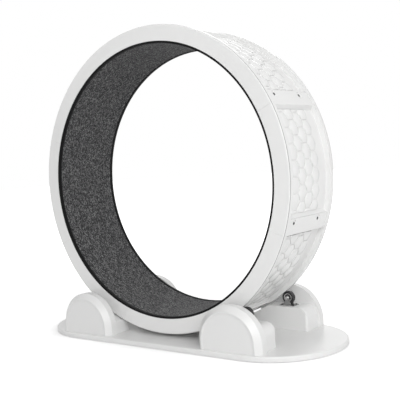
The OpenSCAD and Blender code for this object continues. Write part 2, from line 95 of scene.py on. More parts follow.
camera = bpy.data.objects.new("camera", bpy.data.cameras.new("camera"))
bpy.context.scene.collection.objects.link(camera)
camera.location = (
    EYE_AWAY * math.sin(EYE_TURN),
    -EYE_AWAY * math.cos(EYE_TURN),
    wheel_z + EYE_ABOVE_AXLE,
)
look = Vector((
    -math.sin(LOOK_TURN) * math.cos(LOOK_DOWN),
    math.cos(LOOK_TURN) * math.cos(LOOK_DOWN),
    -math.sin(LOOK_DOWN),
))
level_right = Vector((math.cos(LOOK_TURN), math.sin(LOOK_TURN), 0))
level_down = look.cross(level_right)
right = level_right * math.cos(LOOK_ROLL) + level_down * math.sin(LOOK_ROLL)
down = level_down * math.cos(LOOK_ROLL) - level_right * math.sin(LOOK_ROLL)
camera.rotation_mode = "QUATERNION"
camera.rotation_quaternion = Matrix((right, -down, -look)).transposed().to_quaternion()
camera.data.sensor_width = SENSOR_WIDTH
camera.data.lens = FOCAL_PIXELS * SENSOR_WIDTH / PHOTO_PIXELS
camera.data.shift_x = (PHOTO_PIXELS / 2 - MIDDLE_PIXEL[0]) / PHOTO_PIXELS
camera.data.shift_y = (MIDDLE_PIXEL[1] - PHOTO_PIXELS / 2) / PHOTO_PIXELS
camera.data.clip_end = SEES_AS_FAR_AS
bpy.context.scene.camera = camera
bpy.context.scene.view_settings.view_transform = "Standard"
print(f"lens {camera.data.lens:.1f} mm")

# %% [markdown]
# The sky, the floor and every finish are small trees of shader nodes. A few helpers
# keep each of them short: they add one node, set it and return its result.

# %% Helpers for shader trees
def new_group(name, inputs, outputs):
    """An empty shader group with named sockets; returns it with its two end nodes."""
    group = bpy.data.node_groups.new(name, "ShaderNodeTree")
    for label, kind, value in inputs:
        socket = group.interface.new_socket(label, in_out="INPUT", socket_type=kind)
        if value is not None:
            socket.default_value = value
    for label, kind in outputs:
        group.interface.new_socket(label, in_out="OUTPUT", socket_type=kind)
    return group, group.nodes.new("NodeGroupInput"), group.nodes.new("NodeGroupOutput")


def math_node(tree, operation, first, second=0.0, third=0.0):
    """A Math node on numbers or sockets; returns its result."""
    node = tree.nodes.new("ShaderNodeMath")
    node.operation = operation
    for slot, value in enumerate((first, second, third)):
        if isinstance(value, (int, float)):
            node.inputs[slot].default_value = value
        else:
            tree.links.new(value, node.inputs[slot])
    return node.outputs[0]


def noise_node(tree, vector, scale, detail=2.0, roughness=0.5):
    """A Noise texture; scale is in waves per metre, a number or a socket."""
    node = tree.nodes.new("ShaderNodeTexNoise")
    tree.links.new(vector, node.inputs["Vector"])
    node.inputs["Detail"].default_value = detail
    node.inputs["Roughness"].default_value = roughness
    if isinstance(scale, (int, float)):
        node.inputs["Scale"].default_value = scale
    else:
        tree.links.new(scale, node.inputs["Scale"])
    return node.outputs["Fac"]


def ramp_node(tree, value, stops):
    """A Color Ramp through (position, colour) stops."""
    node = tree.nodes.new("ShaderNodeValToRGB")
    tree.links.new(value, node.inputs["Fac"])
    ramp = node.color_ramp
    while len(ramp.elements) > 1:
        ramp.elements.remove(ramp.elements[-1])
    ramp.elements[0].position = stops[0][0]
    ramp.elements[0].color = (*stops[0][1], 1)
    for position, colour in stops[1:]:
        ramp.elements.new(position).color = (*colour, 1)
    return node.outputs["Color"]


def mix_colours(tree, share, first, second):
    """Blends two colours, each a tuple or a socket, by a share."""
    node = tree.nodes.new("ShaderNodeMix")
    node.data_type = "RGBA"
    if isinstance(share, (int, float)):
        node.inputs["Factor"].default_value = share
    else:
        tree.links.new(share, node.inputs["Factor"])
    for slot, value in (("A", first), ("B", second)):
        socket = [s for s in node.inputs if s.name == slot and s.type == "RGBA"][0]
        if isinstance(value, tuple):
            socket.default_value = (*value, 1)
        else:
            tree.links.new(value, socket)
    return [s for s in node.outputs if s.type == "RGBA"][0]


def remap(tree, value, low, high, to_low, to_high):
    """Stretches a value from one range to another and stops it at the ends."""
    node = tree.nodes.new("ShaderNodeMapRange")
    tree.links.new(value, node.inputs["Value"])
    ends = {"From Min": low, "From Max": high, "To Min": to_low, "To Max": to_high}
    for label, number in ends.items():
        node.inputs[label].default_value = number
    return node.outputs["Result"]


def seen_directly(tree):
    """1 where the camera, a reflection or a view through glass sees the surface."""
    path = tree.nodes.new("ShaderNodeLightPath")
    either = math_node(tree, "MAXIMUM", path.outputs["Is Camera Ray"], path.outputs["Is Glossy Ray"])
    return math_node(tree, "MAXIMUM", either, path.outputs["Is Transmission Ray"])


print("shader helpers ready")

# %% [markdown]
# A white object on white needs soft light from one side, or its edges vanish. The
# main lamp stands to the front right, weaker ones to the right, to the left, behind
# and overhead, and the sky fills in the rest. The floor and the sky are plain white
# only where the camera or a reflection sees them. So the white comes from them and not
# from more light on the object, whose brightest plastic stays just short of white.

# %% Sky
SKY_LIGHT = 0.44
world = bpy.data.worlds.new("studio")
bpy.context.scene.world = world
world.use_nodes = True
sky = world.node_tree
background = sky.nodes["Background"]
background.inputs["Color"].default_value = (1, 1, 1, 1)
sky.links.new(remap(sky, seen_directly(sky), 0.0, 1.0, SKY_LIGHT, 1.0), background.inputs["Strength"])
print("sky light", SKY_LIGHT)

# %% Lamps
LAMPS_AIM_AT = Vector((0, 0, 0.5))


def softbox(name, size, watts, place):
    """A square area lamp at place, turned towards the middle of the wheel."""
    data = bpy.data.lights.new(name, "AREA")
    data.size = size
    data.energy = watts
    lamp = bpy.data.objects.new(name, data)
    bpy.context.scene.collection.objects.link(lamp)
    lamp.location = place
    lamp.rotation_mode = "QUATERNION"
    lamp.rotation_quaternion = (LAMPS_AIM_AT - Vector(place)).to_track_quat("-Z", "Y")


softbox("lamp_front_right", size=2.6, watts=93, place=(2.9, -3.0, 2.2))
softbox("lamp_right", size=2.6, watts=20, place=(3.6, -1.2, 1.7))
softbox("lamp_left", size=2.2, watts=6, place=(-3.0, -3.2, 2.2))
softbox("lamp_top", size=2.6, watts=12, place=(0.3, 0.2, 4.0))
softbox("lamp_back", size=2.2, watts=16, place=(-1.6, 3.6, 2.0))
print("five soft lamps")

# %% Floor
FLOOR_HALF = 20.0
floor_mesh = bpy.data.meshes.new("studio_floor")
floor_corners = [(a * FLOOR_HALF, b * FLOOR_HALF, 0) for a, b in ((-1, -1), (1, -1), (1, 1), (-1, 1))]
floor_mesh.from_pydata(floor_corners, [], [(0, 1, 2, 3)])
floor = bpy.data.objects.new("studio_floor", floor_mesh)
bpy.context.scene.collection.objects.link(floor)
print("floor", 2 * FLOOR_HALF, "m across")

# %% [markdown]
# The floor's paint glows only where it is seen directly: less near the wheel, where the soft shadow falls,
# and fully white far away. Close to the base it glows less still, a band of painted shade that deepens the
# thin real contact shadow there. The base has straight sides and round ends, so the way to its outline is
# that to its middle line, less half its width.

# %% Floor paint
PAINT = (0.86, 0.86, 0.86)
GLOW_NEAR, GLOW_FAR = 0.55, 1.0
NEAR_AWAY, FAR_AWAY = 0.8, 3.0
CONTACT_SHADE_DIP, CONTACT_REACH = 0.25, 0.07
paint = bpy.data.materials.new("studio_floor")
paint.use_nodes = True
tree = paint.node_tree
matt = tree.nodes["Principled BSDF"]
matt.inputs["Base Color"].default_value = (*PAINT, 1)
matt.inputs["Roughness"].default_value = 1.0
matt.inputs["Specular IOR Level"].default_value = 0.0
place = tree.nodes.new("ShaderNodeTexCoord")
away = tree.nodes.new("ShaderNodeVectorMath")
away.operation = "LENGTH"
tree.links.new(place.outputs["Object"], away.inputs[0])
rise = remap(tree, away.outputs["Value"], NEAR_AWAY, FAR_AWAY, GLOW_NEAR, GLOW_FAR)

base_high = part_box("base_plate")[1]
split = tree.nodes.new("ShaderNodeSeparateXYZ")
tree.links.new(place.outputs["Object"], split.inputs[0])
x_away = math_node(tree, "ABSOLUTE", split.outputs["X"])
beyond = math_node(tree, "SUBTRACT", x_away, base_high.x - base_high.y)
beyond = math_node(tree, "MAXIMUM", beyond, 0.0)
y_squared = math_node(tree, "MULTIPLY", split.outputs["Y"], split.outputs["Y"])
from_line = math_node(tree, "SQRT", math_node(tree, "MULTIPLY_ADD", beyond, beyond, y_squared))
from_base = math_node(tree, "SUBTRACT", from_line, base_high.y)
# Painted shade: the glow drops in a band round the base, so the floor there is a little darker under any
# light, on top of the real contact shadow.
painted_contact_shade = remap(tree, from_base, 0.0, CONTACT_REACH, CONTACT_SHADE_DIP, 0.0)

glow = tree.nodes.new("ShaderNodeEmission")
glow.inputs["Color"].default_value = (1, 1, 1, 1)
strength = math_node(tree, "MULTIPLY", math_node(tree, "SUBTRACT", rise, painted_contact_shade), seen_directly(tree))
tree.links.new(strength, glow.inputs["Strength"])
both = tree.nodes.new("ShaderNodeAddShader")
tree.links.new(matt.outputs[0], both.inputs[0])
tree.links.new(glow.outputs[0], both.inputs[1])
tree.links.new(both.outputs[0], tree.nodes["Material Output"].inputs["Surface"])
floor_mesh.materials.append(paint)
print("floor glows from", GLOW_NEAR, "to", GLOW_FAR)

# %% [markdown]
# ## Shader groups
# Moulded plastic, rubber and plated steel all have a skin: a slow waviness from the
# mould or the sheet, and a fine grain on top. One group makes both, with its sizes as
# inputs, and each finish places it with its own values.

# %% Group: moulded skin
skin_group, given, made = new_group(
    "moulded_skin",
    [
        ("Vector", "NodeSocketVector", None),
        ("Wave size", "NodeSocketFloat", 0.03),
        ("Grain size", "NodeSocketFloat", 0.0006),
        ("Wave share", "NodeSocketFloat", 0.6),
    ],
    [("Height", "NodeSocketFloat"), ("Mottle", "NodeSocketFloat")],
)
vector, wave_share = given.outputs["Vector"], given.outputs["Wave share"]
wave_scale = math_node(skin_group, "DIVIDE", 1.0, given.outputs["Wave size"])
grain_scale = math_node(skin_group, "DIVIDE", 1.0, given.outputs["Grain size"])
mottle_scale = math_node(skin_group, "DIVIDE", 0.25, given.outputs["Wave size"])
wave = noise_node(skin_group, vector, wave_scale, detail=2.0)
grain = noise_node(skin_group, vector, grain_scale, detail=1.0)
mottle = noise_node(skin_group, vector, mottle_scale, detail=4.0, roughness=0.6)
wave_part = math_node(skin_group, "MULTIPLY", wave, wave_share)
grain_part = math_node(skin_group, "MULTIPLY", grain, math_node(skin_group, "SUBTRACT", 1.0, wave_share))
skin_group.links.new(math_node(skin_group, "ADD", wave_part, grain_part), made.inputs["Height"])
skin_group.links.new(mottle, made.inputs["Mottle"])
print("group", skin_group.name)

# %% Group: settled dust
# Dust lies in patches on the faces that look up.
dust_group, given, made = new_group(
    "settled_dust",
    [
        ("Vector", "NodeSocketVector", None),
        ("Amount", "NodeSocketFloat", 0.1),
        ("Patch size", "NodeSocketFloat", 0.08),
    ],
    [("Mask", "NodeSocketFloat")],
)
face = dust_group.nodes.new("ShaderNodeNewGeometry")
split = dust_group.nodes.new("ShaderNodeSeparateXYZ")
dust_group.links.new(face.outputs["Normal"], split.inputs[0])
upward = math_node(dust_group, "MAXIMUM", split.outputs["Z"], 0.0)
patch_scale = math_node(dust_group, "DIVIDE", 1.0, given.outputs["Patch size"])
patches = noise_node(dust_group, given.outputs["Vector"], patch_scale, detail=6.0, roughness=0.65)
patchy = remap(dust_group, patches, 0.35, 0.75, 0.0, 1.0)
settled = math_node(dust_group, "MULTIPLY", upward, patchy)
laid = math_node(dust_group, "MULTIPLY", settled, given.outputs["Amount"])
dust_group.links.new(laid, made.inputs["Mask"])
print("group", dust_group.name)

# %% Group: worn edges
# A Bevel node bends the normal only near an edge, so the angle between the bent and
# the plain normal shows where a hand, a tool or the tyre rubs the finish.
wear_group, given, made = new_group(
    "worn_edges",
    [
        ("Vector", "NodeSocketVector", None),
        ("Width", "NodeSocketFloat", 0.001),
        ("Break-up", "NodeSocketFloat", 300.0),
    ],
    [("Mask", "NodeSocketFloat")],
)
rounded = wear_group.nodes.new("ShaderNodeBevel")
rounded.samples = 4
wear_group.links.new(given.outputs["Width"], rounded.inputs["Radius"])
plain = wear_group.nodes.new("ShaderNodeNewGeometry")
dot = wear_group.nodes.new("ShaderNodeVectorMath")
dot.operation = "DOT_PRODUCT"
wear_group.links.new(rounded.outputs[0], dot.inputs[0])
wear_group.links.new(plain.outputs["Normal"], dot.inputs[1])
near_edge = remap(wear_group, dot.outputs["Value"], 0.75, 0.99, 1.0, 0.0)
rubs = noise_node(wear_group, given.outputs["Vector"], given.outputs["Break-up"], detail=3.0)
broken = remap(wear_group, rubs, 0.4, 0.6, 0.2, 1.0)
wear_group.links.new(math_node(wear_group, "MULTIPLY", near_edge, broken), made.inputs["Mask"])
print("group", wear_group.name)

# %% Group: painted shade line of the ring
# The front and back edges of the ring's outer surface get a fine dark line of painted shade. It stands for
# the shadow at the step down into the recess just behind the ring's face. It is a band at a distance from the
# ring's face, and it ends a little below the outer surface.
shade_line_group, given, made = new_group(
    "parting_line",
    [
        ("Vector", "NodeSocketVector", None),
        ("Half width", "NodeSocketFloat", 0.14),
        ("Inset", "NodeSocketFloat", 0.004),
        ("Line width", "NodeSocketFloat", 0.001),
        ("Inner radius", "NodeSocketFloat", 0.49),
    ],
    [("Mask", "NodeSocketFloat")],
)
split = shade_line_group.nodes.new("ShaderNodeSeparateXYZ")
shade_line_group.links.new(given.outputs["Vector"], split.inputs[0])
height = math_node(shade_line_group, "SUBTRACT", split.outputs["Z"], wheel_z)
x_squared = math_node(shade_line_group, "MULTIPLY", split.outputs["X"], split.outputs["X"])
reach = math_node(shade_line_group, "SQRT", math_node(shade_line_group, "MULTIPLY_ADD", height, height, x_squared))
along = math_node(shade_line_group, "ABSOLUTE", split.outputs["Y"])
from_face = math_node(shade_line_group, "SUBTRACT", given.outputs["Half width"], along)
off_line = math_node(shade_line_group, "SUBTRACT", from_face, given.outputs["Inset"])
half_line = math_node(shade_line_group, "MULTIPLY", given.outputs["Line width"], 0.5)
on_shade_line = math_node(shade_line_group, "LESS_THAN", math_node(shade_line_group, "ABSOLUTE", off_line), half_line)
outside = math_node(shade_line_group, "GREATER_THAN", reach, given.outputs["Inner radius"])
shade_line_group.links.new(math_node(shade_line_group, "MULTIPLY", on_shade_line, outside), made.inputs["Mask"])
print("group", shade_line_group.name)

# %% [markdown]
# ## Finishes
# Each finish is a Principled BSDF. What varies over the surface comes from a group,
# and what is the same all over is set on the shader itself.

# %% A finish to start from
def new_finish(name, colour, roughness, metallic=0.0):
    """A material with its Principled BSDF and its object coordinates."""
    material = bpy.data.materials.new(name)
    material.use_nodes = True
    tree = material.node_tree
    shader = tree.nodes["Principled BSDF"]
    shader.inputs["Base Color"].default_value = (*colour, 1)
    shader.inputs["Roughness"].default_value = roughness
    shader.inputs["Metallic"].default_value = metallic
    place = tree.nodes.new("ShaderNodeTexCoord")
    return material, tree, shader, place.outputs["Object"]


def place_group(tree, group, vector, **values):
    """Puts a shader group into a material; underscores in names stand for spaces."""
    node = tree.nodes.new("ShaderNodeGroup")
    node.node_tree = group
    tree.links.new(vector, node.inputs["Vector"])
    for label, value in values.items():
        node.inputs[label.replace("_", " ")].default_value = value
    return node


def add_bump(tree, shader, height, depth, strength, edge_round=0.0):
    """Bends the shader's normal by a height of depth metres and rounds its edges."""
    bump = tree.nodes.new("ShaderNodeBump")
    bump.inputs["Strength"].default_value = strength
    bump.inputs["Distance"].default_value = depth
    tree.links.new(height, bump.inputs["Height"])
    if edge_round:
        soft = tree.nodes.new("ShaderNodeBevel")
        soft.samples = 8
        soft.inputs["Radius"].default_value = edge_round
        tree.links.new(soft.outputs[0], bump.inputs["Normal"])
    tree.links.new(bump.outputs[0], shader.inputs["Normal"])


print("finish helpers ready")

# %% White moulded plastic
WHITE = (0.80, 0.80, 0.795)
DUST_GREY = (0.62, 0.61, 0.58)
# Grey, place and size of a painted shade line along the ring's edges, standing for the recess step's shadow.
SHADE_LINE_GREY = (0.36, 0.36, 0.36)
SHADE_LINE_INSET, SHADE_LINE_WIDTH, SHADE_LINE_DEPTH = 3.6 * MM, 3.2 * MM, 0.7 * MM
MOTTLE_TONE = 0.996


def white_plastic(name, colour, roughness, edge_round, dust, shade_lined=False):
    """Glossy white plastic with mould waviness, fine grain, a little dust and, where asked, a painted shade
    line.
    """
    material, tree, shader, place = new_finish(name, colour, roughness)
    shader.inputs["IOR"].default_value = 1.49
    skin = place_group(tree, skin_group, place, Wave_size=0.035, Grain_size=0.0009, Wave_share=0.97)
    veil = place_group(tree, dust_group, place, Amount=dust, Patch_size=0.09)
    mottle = remap(tree, skin.outputs["Mottle"], 0.3, 0.7, 0.0, 1.0)
    tone = mix_colours(tree, mottle, tuple(MOTTLE_TONE * c for c in colour), colour)
    tone = mix_colours(tree, veil.outputs["Mask"], tone, DUST_GREY)
    # Painted shade: a dark band near the ring's faces, where the shadow of the recess step falls.
    if shade_lined:
        shade_line = place_group(
            tree, shade_line_group, place,
            Half_width=wheel_half_w, Inset=SHADE_LINE_INSET, Line_width=SHADE_LINE_WIDTH,
            Inner_radius=outer_r - SHADE_LINE_DEPTH,
        )
        tone = mix_colours(tree, shade_line.outputs["Mask"], tone, SHADE_LINE_GREY)
    tree.links.new(tone, shader.inputs["Base Color"])
    gloss = remap(tree, skin.outputs["Mottle"], 0.25, 0.75, roughness - 0.008, roughness + 0.01)
    dulled = math_node(tree, "MULTIPLY_ADD", veil.outputs["Mask"], 0.5, gloss)
    tree.links.new(dulled, shader.inputs["Roughness"])
    add_bump(tree, shader, skin.outputs["Height"], depth=0.00008, strength=0.3, edge_round=edge_round)
    return material


ring_plastic = white_plastic("ring_plastic", WHITE, 0.19, edge_round=0.0006, dust=0.015, shade_lined=True)
housing_plastic = white_plastic("housing_plastic", WHITE, 0.33, edge_round=0.0016, dust=0.03)
base_plastic = white_plastic("base_plastic", WHITE, 0.30, edge_round=0.0012, dust=0.06)
print("white plastics", ring_plastic.name, housing_plastic.name, base_plastic.name)

# %% Rubber
def rubber(name, colour, roughness, wave, grain, depth, specular=0.4, bloomed=0.5):
    """Dull black rubber with a fine grain and a greyish bloom."""
    material, tree, shader, place = new_finish(name, colour, roughness)
    shader.inputs["Specular IOR Level"].default_value = specular
    skin = place_group(tree, skin_group, place, Wave_size=wave, Grain_size=grain, Wave_share=0.35)
    bloom = remap(tree, skin.outputs["Mottle"], 0.4, 0.8, 0.0, bloomed)
    greyish = tuple(3 * c + 0.01 for c in colour)
    tree.links.new(mix_colours(tree, bloom, colour, greyish), shader.inputs["Base Color"])
    gloss = remap(tree, skin.outputs["Mottle"], 0.3, 0.7, roughness - 0.08, roughness + 0.1)
    tree.links.new(gloss, shader.inputs["Roughness"])
    add_bump(tree, shader, skin.outputs["Height"], depth, strength=0.7, edge_round=0.0005)
    return material


tyre_rubber = rubber("tyre_rubber", (0.018, 0.018, 0.019), 0.5, wave=0.006, grain=0.0004, depth=0.0002)
foot_rubber = rubber("foot_rubber", (0.03, 0.03, 0.03), 0.65, wave=0.008, grain=0.0005, depth=0.0002)
seal_rubber = rubber("seal_rubber", (0.012, 0.012, 0.012), 0.4, wave=0.004, grain=0.0003, depth=0.0001)
print("rubbers", tyre_rubber.name, foot_rubber.name, seal_rubber.name)

# %% Metals
def plated_metal(name, colour, roughness, streaks, bare, metallic=1.0):
    """Plated or blackened steel: fine draw lines, slow mottling and rubbed edges."""
    material, tree, shader, place = new_finish(name, colour, roughness, metallic)
    stretch = tree.nodes.new("ShaderNodeMapping")
    stretch.inputs["Scale"].default_value = streaks
    tree.links.new(place, stretch.inputs["Vector"])
    lines = noise_node(tree, stretch.outputs[0], 1.0, detail=3.0, roughness=0.6)
    skin = place_group(tree, skin_group, place, Wave_size=0.004, Grain_size=0.0003, Wave_share=0.4)
    wear = place_group(tree, wear_group, place, Width=0.0007)
    mottle = remap(tree, skin.outputs["Mottle"], 0.3, 0.7, 0.0, 1.0)
    tone = mix_colours(tree, mottle, colour, tuple(0.8 * c for c in colour))
    tree.links.new(mix_colours(tree, wear.outputs["Mask"], tone, bare), shader.inputs["Base Color"])
    gloss = remap(tree, lines, 0.3, 0.7, roughness - 0.08, roughness + 0.12)
    tree.links.new(gloss, shader.inputs["Roughness"])
    add_bump(tree, shader, lines, depth=0.00005, strength=0.5)
    return material


# The streaks are draw lines to a metre along X, Y and Z, and bare is the rubbed tone.
zinc_steel = plated_metal(
    "zinc_steel", (0.50, 0.50, 0.50), 0.34, streaks=(60, 400, 2500), bare=(0.75, 0.75, 0.75)
)
bright_steel = plated_metal(
    "polished_steel", (0.72, 0.72, 0.71), 0.2, streaks=(400, 400, 400), bare=(0.85, 0.85, 0.85)
)
black_steel = plated_metal(
    "black_steel", (0.045, 0.045, 0.047), 0.38, streaks=(900, 900, 900), bare=(0.35, 0.35, 0.35), metallic=0.7
)
print("metals", zinc_steel.name, bright_steel.name, black_steel.name)

# %% Put the finishes on the CAD nodes
def dress(material, *starts):
    """Gives this finish to the CAD nodes whose names start with one of the words."""
    for name, node in nodes.items():
        if name.startswith(starts):
            node.data.materials.clear()
            node.data.materials.append(material)


dress(ring_plastic, "rim_segment")
dress(housing_plastic, "guard_front", "guard_back")
dress(base_plastic, "base_plate")
dress(foot_rubber, "foot_pads")
dress(tyre_rubber, "tyre")
dress(bright_steel, "bearing", "axle")
dress(zinc_steel, "fork_front", "fork_back")
print("CAD nodes dressed")

# %% [markdown]
# ## Small parts from Geometry Nodes
# The binding, its stitches, the screws and the bearing seals all repeat or run round
# the axle, so Geometry Nodes make them. Each tree takes the pattern as its start mesh
# and has named inputs for its sizes. The result is kept as a plain mesh.

# %% Trees with named inputs
def new_tree(name, inputs):
    """An empty geometry tree; returns it with the nodes at its two ends."""
    tree = bpy.data.node_groups.new(name, "GeometryNodeTree")
    tree.interface.new_socket("Pattern", in_out="INPUT", socket_type="NodeSocketGeometry")
    tree.interface.new_socket("Made", in_out="OUTPUT", socket_type="NodeSocketGeometry")
    for label, kind in inputs:
        tree.interface.new_socket(label, in_out="INPUT", socket_type=kind)
    return tree, tree.nodes.new("NodeGroupInput"), tree.nodes.new("NodeGroupOutput")


def put(tree, kind, settings=None, **inputs):
    """Adds a node; inputs are numbers or sockets, with underscores for spaces."""
    node = tree.nodes.new(kind)
    for label, value in (settings or {}).items():
        setattr(node, label, value)
    for label, value in inputs.items():
        socket = node.inputs[label.replace("_", " ")]
        if isinstance(value, bpy.types.NodeSocket):
            tree.links.new(value, socket)
        else:
            socket.default_value = value
    return node


def end_tree(tree, given, made, shape):
    """Every tree ends in Realize Instances and Set Material."""
    real = put(tree, "GeometryNodeRealizeInstances", Geometry=shape)
    coated = put(
        tree, "GeometryNodeSetMaterial", Geometry=real.outputs[0], Material=given.outputs["Material"]
    )
    tree.links.new(coated.outputs[0], made.inputs[0])


def run_tree(tree, name, pattern, body, slot, stands_for=(), **values):
    """Runs a tree on a pattern mesh and keeps its result as a plain mesh on a body."""
    piece = bpy.data.objects.new(name, pattern)
    bpy.context.scene.collection.objects.link(piece)
    modifier = piece.modifiers.new("tree", "NODES")
    modifier.node_group = tree
    for socket in tree.interface.items_tree:
        label = socket.name.replace(" ", "_")
        if socket.in_out == "INPUT" and label in values:
            modifier[socket.identifier] = values[label]
    graph = bpy.context.evaluated_depsgraph_get()
    solid = bpy.data.meshes.new_from_object(piece.evaluated_get(graph), depsgraph=graph)
    piece.modifiers.remove(modifier)
    piece.data = solid
    solid.name = name
    if stands_for:
        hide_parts(*stands_for)
    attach(piece, body)
    print(name, len(solid.polygons), "faces")


# %% Tree: a section swept round the axle
sweep_tree, given, made = new_tree(
    "swept_ring",
    [
        ("Radius", "NodeSocketFloat"),
        ("Steps", "NodeSocketInt"),
        ("Middle", "NodeSocketVector"),
        ("Material", "NodeSocketMaterial"),
    ],
)
section = put(sweep_tree, "GeometryNodeMeshToCurve", Mesh=given.outputs["Pattern"])
path = put(
    sweep_tree, "GeometryNodeCurvePrimitiveCircle",
    Resolution=given.outputs["Steps"], Radius=given.outputs["Radius"],
)
swept = put(sweep_tree, "GeometryNodeCurveToMesh", Curve=path.outputs[0], Profile_Curve=section.outputs[0])
upright = put(
    sweep_tree, "GeometryNodeTransform", Geometry=swept.outputs[0],
    Rotation=(math.pi / 2, 0, 0), Translation=given.outputs["Middle"],
)
smooth = put(sweep_tree, "GeometryNodeSetShadeSmooth", Geometry=upright.outputs[0])
end_tree(sweep_tree, given, made, smooth.outputs[0])
print("tree", sweep_tree.name)

# %% Sections with rounded corners
def rounded_loop(corners, steps=4):
    """Points of a closed outline whose (x, y, radius) corners are rounded off."""
    points = []
    for i, (x, y, r) in enumerate(corners):
        here = Vector((x, y))
        before = (Vector(corners[i - 1][:2]) - here).normalized()
        after = (Vector(corners[(i + 1) % len(corners)][:2]) - here).normalized()
        half = before.angle(after) / 2
        centre = here + (before + after).normalized() * r / math.sin(half)
        start = here + before * r / math.tan(half) - centre
        turn = start.angle_signed(here + after * r / math.tan(half) - centre)
        for k in range(steps + 1):
            cos, sin = math.cos(-turn * k / steps), math.sin(-turn * k / steps)
            points.append(centre + Vector((start.x * cos - start.y * sin, start.x * sin + start.y * cos)))
    return points


def section_mesh(name, loops):
    """Closed outlines in the X, Y plane as edges: X is away from the axle, Y along it."""
    mesh = bpy.data.meshes.new(name)
    points, edges = [], []
    for loop in loops:
        first = len(points)
        points += [(x, y, 0) for x, y in loop]
        edges += [(first + k, first + (k + 1) % len(loop)) for k in range(len(loop))]
    mesh.from_pydata(points, edges, [])
    return mesh


print("section helpers ready")

# %% [markdown]
# The carpet's edges are bound with a black strip that is folded over the pile and
# held by a row of stitches. Its section is an L with rolled corners, taken once round
# the wheel on each side. The stitches sink a little into the lip.

# %% Edge bindings
LAP, LAP_SUNK, SEAT_GAP = 2.5 * MM, 0.4 * MM, 0.1 * MM
BINDING_STEPS = 384
binding_in = lip_y - LAP
binding_rubber = rubber(
    "binding_rubber", (0.0035, 0.0035, 0.0038), 0.55,
    wave=0.005, grain=0.0006, depth=0.00025, specular=0.1, bloomed=0.15,
)


def binding_section(side):
    """L-shaped section of one binding; side is -1 in front and 1 behind."""
    pile_x = carpet_in_r - track_r
    lip_x = carpet_in_r - LIP_T - track_r
    loop = rounded_loop([
        (lip_x, wheel_half_w, 1.6 * MM),
        (-SEAT_GAP, wheel_half_w, 0.5 * MM),
        (-SEAT_GAP, carpet_half_w, 0.3 * MM),
        (pile_x, carpet_half_w, 0.3 * MM),
        (pile_x + LAP_SUNK, binding_in, 0.4 * MM),
        (lip_x, binding_in, 0.7 * MM),
    ])
    return [(p.x, side * p.y) for p in (loop if side > 0 else loop[::-1])]


for side, word in ((-1, "front"), (1, "back")):
    run_tree(
        sweep_tree, f"binding_{word}", section_mesh(f"section_{word}", [binding_section(side)]),
        "wheel", "binding", stands_for=(f"edge_trim_{word}",),
        Radius=track_r, Steps=BINDING_STEPS, Middle=(0.0, 0.0, wheel_z), Material=binding_rubber,
    )

# %% Tree: stitches on a ring
stitch_tree, given, made = new_tree(
    "stitch_row",
    [
        ("Radius", "NodeSocketFloat"),
        ("Count", "NodeSocketInt"),
        ("Middle", "NodeSocketVector"),
        ("Material", "NodeSocketMaterial"),
    ],
)
path = put(stitch_tree, "GeometryNodeCurvePrimitiveCircle", Resolution=256, Radius=given.outputs["Radius"])
spots = put(
    stitch_tree, "GeometryNodeCurveToPoints", {"mode": "COUNT"},
    Curve=path.outputs[0], Count=given.outputs["Count"],
)
sewn = put(
    stitch_tree, "GeometryNodeInstanceOnPoints", Points=spots.outputs["Points"],
    Instance=given.outputs["Pattern"], Rotation=spots.outputs["Rotation"],
)
upright = put(
    stitch_tree, "GeometryNodeTransform", Geometry=sewn.outputs[0],
    Rotation=(math.pi / 2, 0, 0), Translation=given.outputs["Middle"],
)
end_tree(stitch_tree, given, made, upright.outputs[0])
print("tree", stitch_tree.name)

# %% Meshes from rings of points
def ringed_mesh(name, points, sides):
    """A smooth closed mesh: walls between rings of points, and a cap at both ends."""
    rings = len(points) // sides
    faces = [tuple(range(sides))[::-1], tuple((rings - 1) * sides + j for j in range(sides))]
    for k in range(rings - 1):
        for j in range(sides):
            n = (j + 1) % sides
            faces.append((k * sides + j, k * sides + n, (k + 1) * sides + n, (k + 1) * sides + j))
    mesh = bpy.data.meshes.new(name)
    mesh.from_pydata(points, [], faces)
    shape = bmesh.new()
    shape.from_mesh(mesh)
    bmesh.ops.recalc_face_normals(shape, faces=shape.faces)
    shape.to_mesh(mesh)
    shape.free()
    mesh.polygons.foreach_set("use_smooth", [True] * len(mesh.polygons))
    return mesh


print("ring mesh helper ready")

# %% Rows of stitches
STITCH_PITCH, STITCH_L, STITCH_T, STITCH_SLANT = 7 * MM, 5 * MM, 0.9 * MM, 0.35
STITCH_IN, STITCH_SUNK = 2.6 * MM, 0.1 * MM
lip_r = carpet_in_r - LIP_T
thread = rubber(
    "binding_thread", (0.03, 0.03, 0.032), 0.7, wave=0.004, grain=0.0003, depth=0.0003, specular=0.15
)


def stitch_pattern(long, thick, slant):
    """A bead of thread along Z that bows towards -X and sinks past X = 0 at both ends."""
    sides, rings = 6, 5
    points = []
    for k in range(rings):
        t = k / (rings - 1)
        bow = math.sin(math.pi * t)
        fat = thick / 2 * (0.55 + 0.45 * bow)
        lift = thick * (1.1 * bow - 0.45)
        along = long * (t - 0.5)
        for j in range(sides):
            a = 2 * math.pi * j / sides
            points.append((-lift - fat * math.cos(a), fat * math.sin(a) + along * slant, along))
    return ringed_mesh("stitch_pattern", points, sides)


for side, word in ((-1, "front"), (1, "back")):
    run_tree(
        stitch_tree, f"stitches_{word}", stitch_pattern(STITCH_L, STITCH_T, side * STITCH_SLANT),
        "wheel", "binding",
        Radius=lip_r + STITCH_SUNK, Count=int(2 * math.pi * lip_r / STITCH_PITCH),
        Middle=(0.0, side * (binding_in + STITCH_IN), wheel_z), Material=thread,
    )

# %% [markdown]
# The screws have pan heads with a hexagonal socket. One screw is turned on a polar
# grid of points, whose rings change from round to six-sided inside the socket. The
# tree sets it on a list of places, each with the way that its head faces, and gives
# every head a turn of its own, because nobody stops all screws at the same angle.

